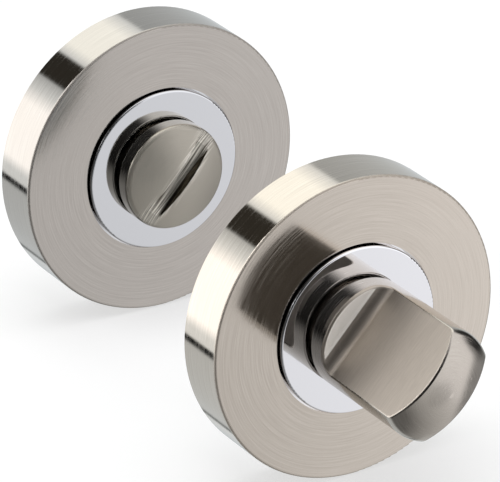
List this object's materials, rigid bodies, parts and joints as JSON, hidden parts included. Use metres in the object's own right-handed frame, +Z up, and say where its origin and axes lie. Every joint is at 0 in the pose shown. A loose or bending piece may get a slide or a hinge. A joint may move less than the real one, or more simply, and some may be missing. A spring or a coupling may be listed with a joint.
{
  "type": "bathroom thumb turn lock",
  "caption": "Bathroom thumb turn and coin-slot emergency release on round push-fit roses with bright collars, for a square spindle.",
  "frame": {"origin": "centre of the turn's rose on the door face", "axes": "-Y out of the door towards the hand, +Y into the door, +X right and +Z up as seen from the front"},
  "size_m": [0.0583, 0.1221, 0.053],
  "materials": {
    "satin_nickel": "satin nickel plate, fine turning lines",
    "polished_chrome": "mirror polished",
    "zinc_casting": "as cast, dull grey",
    "spring_steel": "oiled dark steel",
    "plated_steel": "bright zinc plate",
    "nylon": "natural nylon"
  },
  "bodies": {
    "roses": {"turn_rose_cover": "satin_nickel", "turn_base": "zinc_casting", "turn_collar": "polished_chrome", "turn_bush": "nylon", "turn_spring_washer": "spring_steel", "turn_fixing_screw_upper": "plated_steel", "turn_fixing_screw_lower": "plated_steel", "release_rose_cover": "satin_nickel", "release_base": "zinc_casting", "release_collar": "polished_chrome", "release_bush": "nylon", "release_spring_washer": "spring_steel", "release_fixing_screw_upper": "plated_steel", "release_fixing_screw_lower": "plated_steel"},
    "turn": {"thumb_turn": "satin_nickel", "turn_spindle": "plated_steel", "spindle_grub_screw": "spring_steel", "turn_flat_washer": "spring_steel", "turn_circlip": "spring_steel"},
    "release": {"release_stud": "satin_nickel", "release_flat_washer": "spring_steel", "release_circlip": "spring_steel"}
  },
  "joints": [
    {"name": "turn_rotate", "type": "hinge", "parent": "roses", "child": "turn", "pos_m": [0, 0, 0], "axis": [0, -1, 0], "range_deg": [-47, 43]},
    {"name": "release_rotate", "type": "hinge", "parent": "roses", "child": "release", "pos_m": [0.0053, 0.0713, 0], "axis": [0, -1, 0], "range_deg": [-47, 43]}
  ]
}
